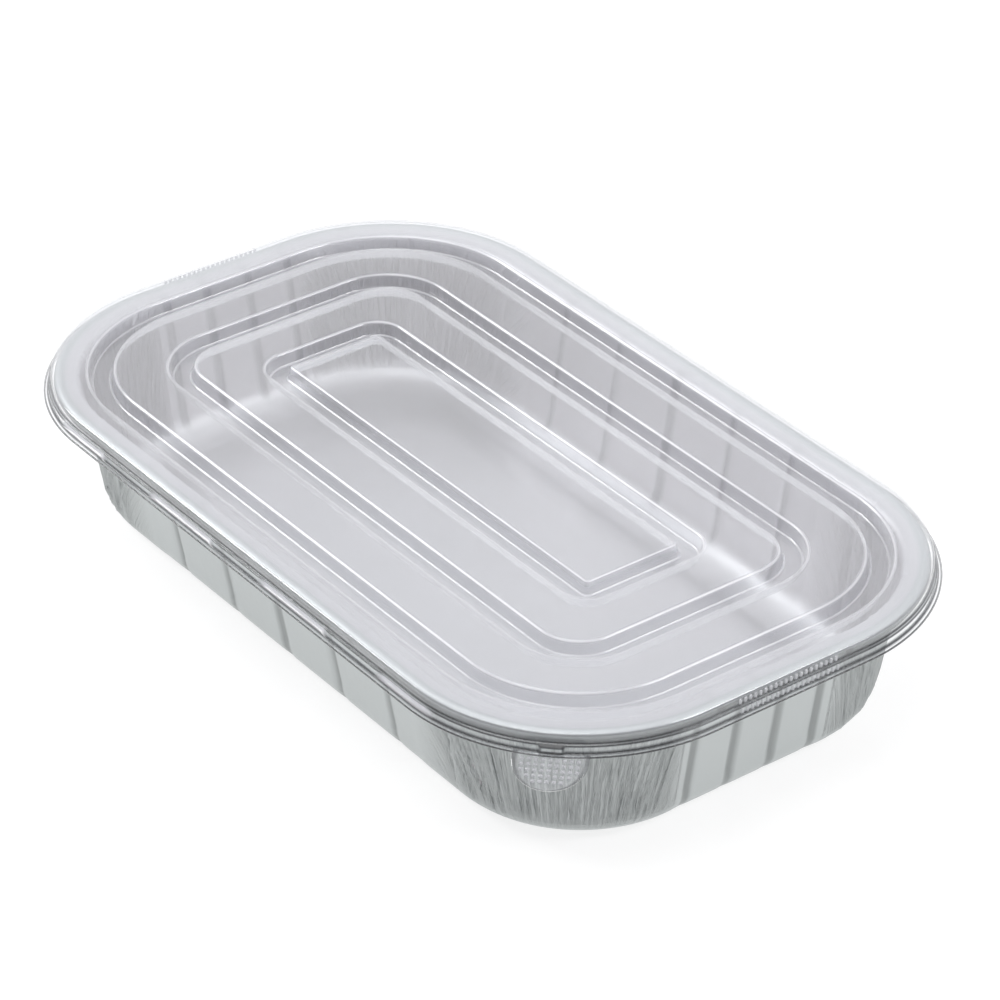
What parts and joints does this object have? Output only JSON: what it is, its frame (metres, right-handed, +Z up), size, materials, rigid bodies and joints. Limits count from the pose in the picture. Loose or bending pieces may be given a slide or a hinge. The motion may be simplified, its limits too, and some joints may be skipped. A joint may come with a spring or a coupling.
{
  "type": "foil food container",
  "caption": "Rectangular pressed aluminium foil food tray with rounded corners, fluted sides and a curled rim, closed by a clear press-on lid with concentric channels and a corner pull tab.",
  "frame": {"origin": "middle of the tray's foot ring on the table", "axes": "+X along the length towards the end with the pull tab, +Y across the width away from the tab's corner, +Z up out of the tray"},
  "size_m": [0.2436, 0.1466, 0.0405],
  "materials": {
    "foil": "satin",
    "clear_sheet": "gloss"
  },
  "bodies": {
    "tray": {"foil_tray": "foil"},
    "lid": {"lid": "clear_sheet"}
  },
  "joints": [
    {"name": "lid_lift", "type": "slide", "parent": "tray", "child": "lid", "axis": [0, 0, 1], "range_m": [0, 0.06]}
  ]
}
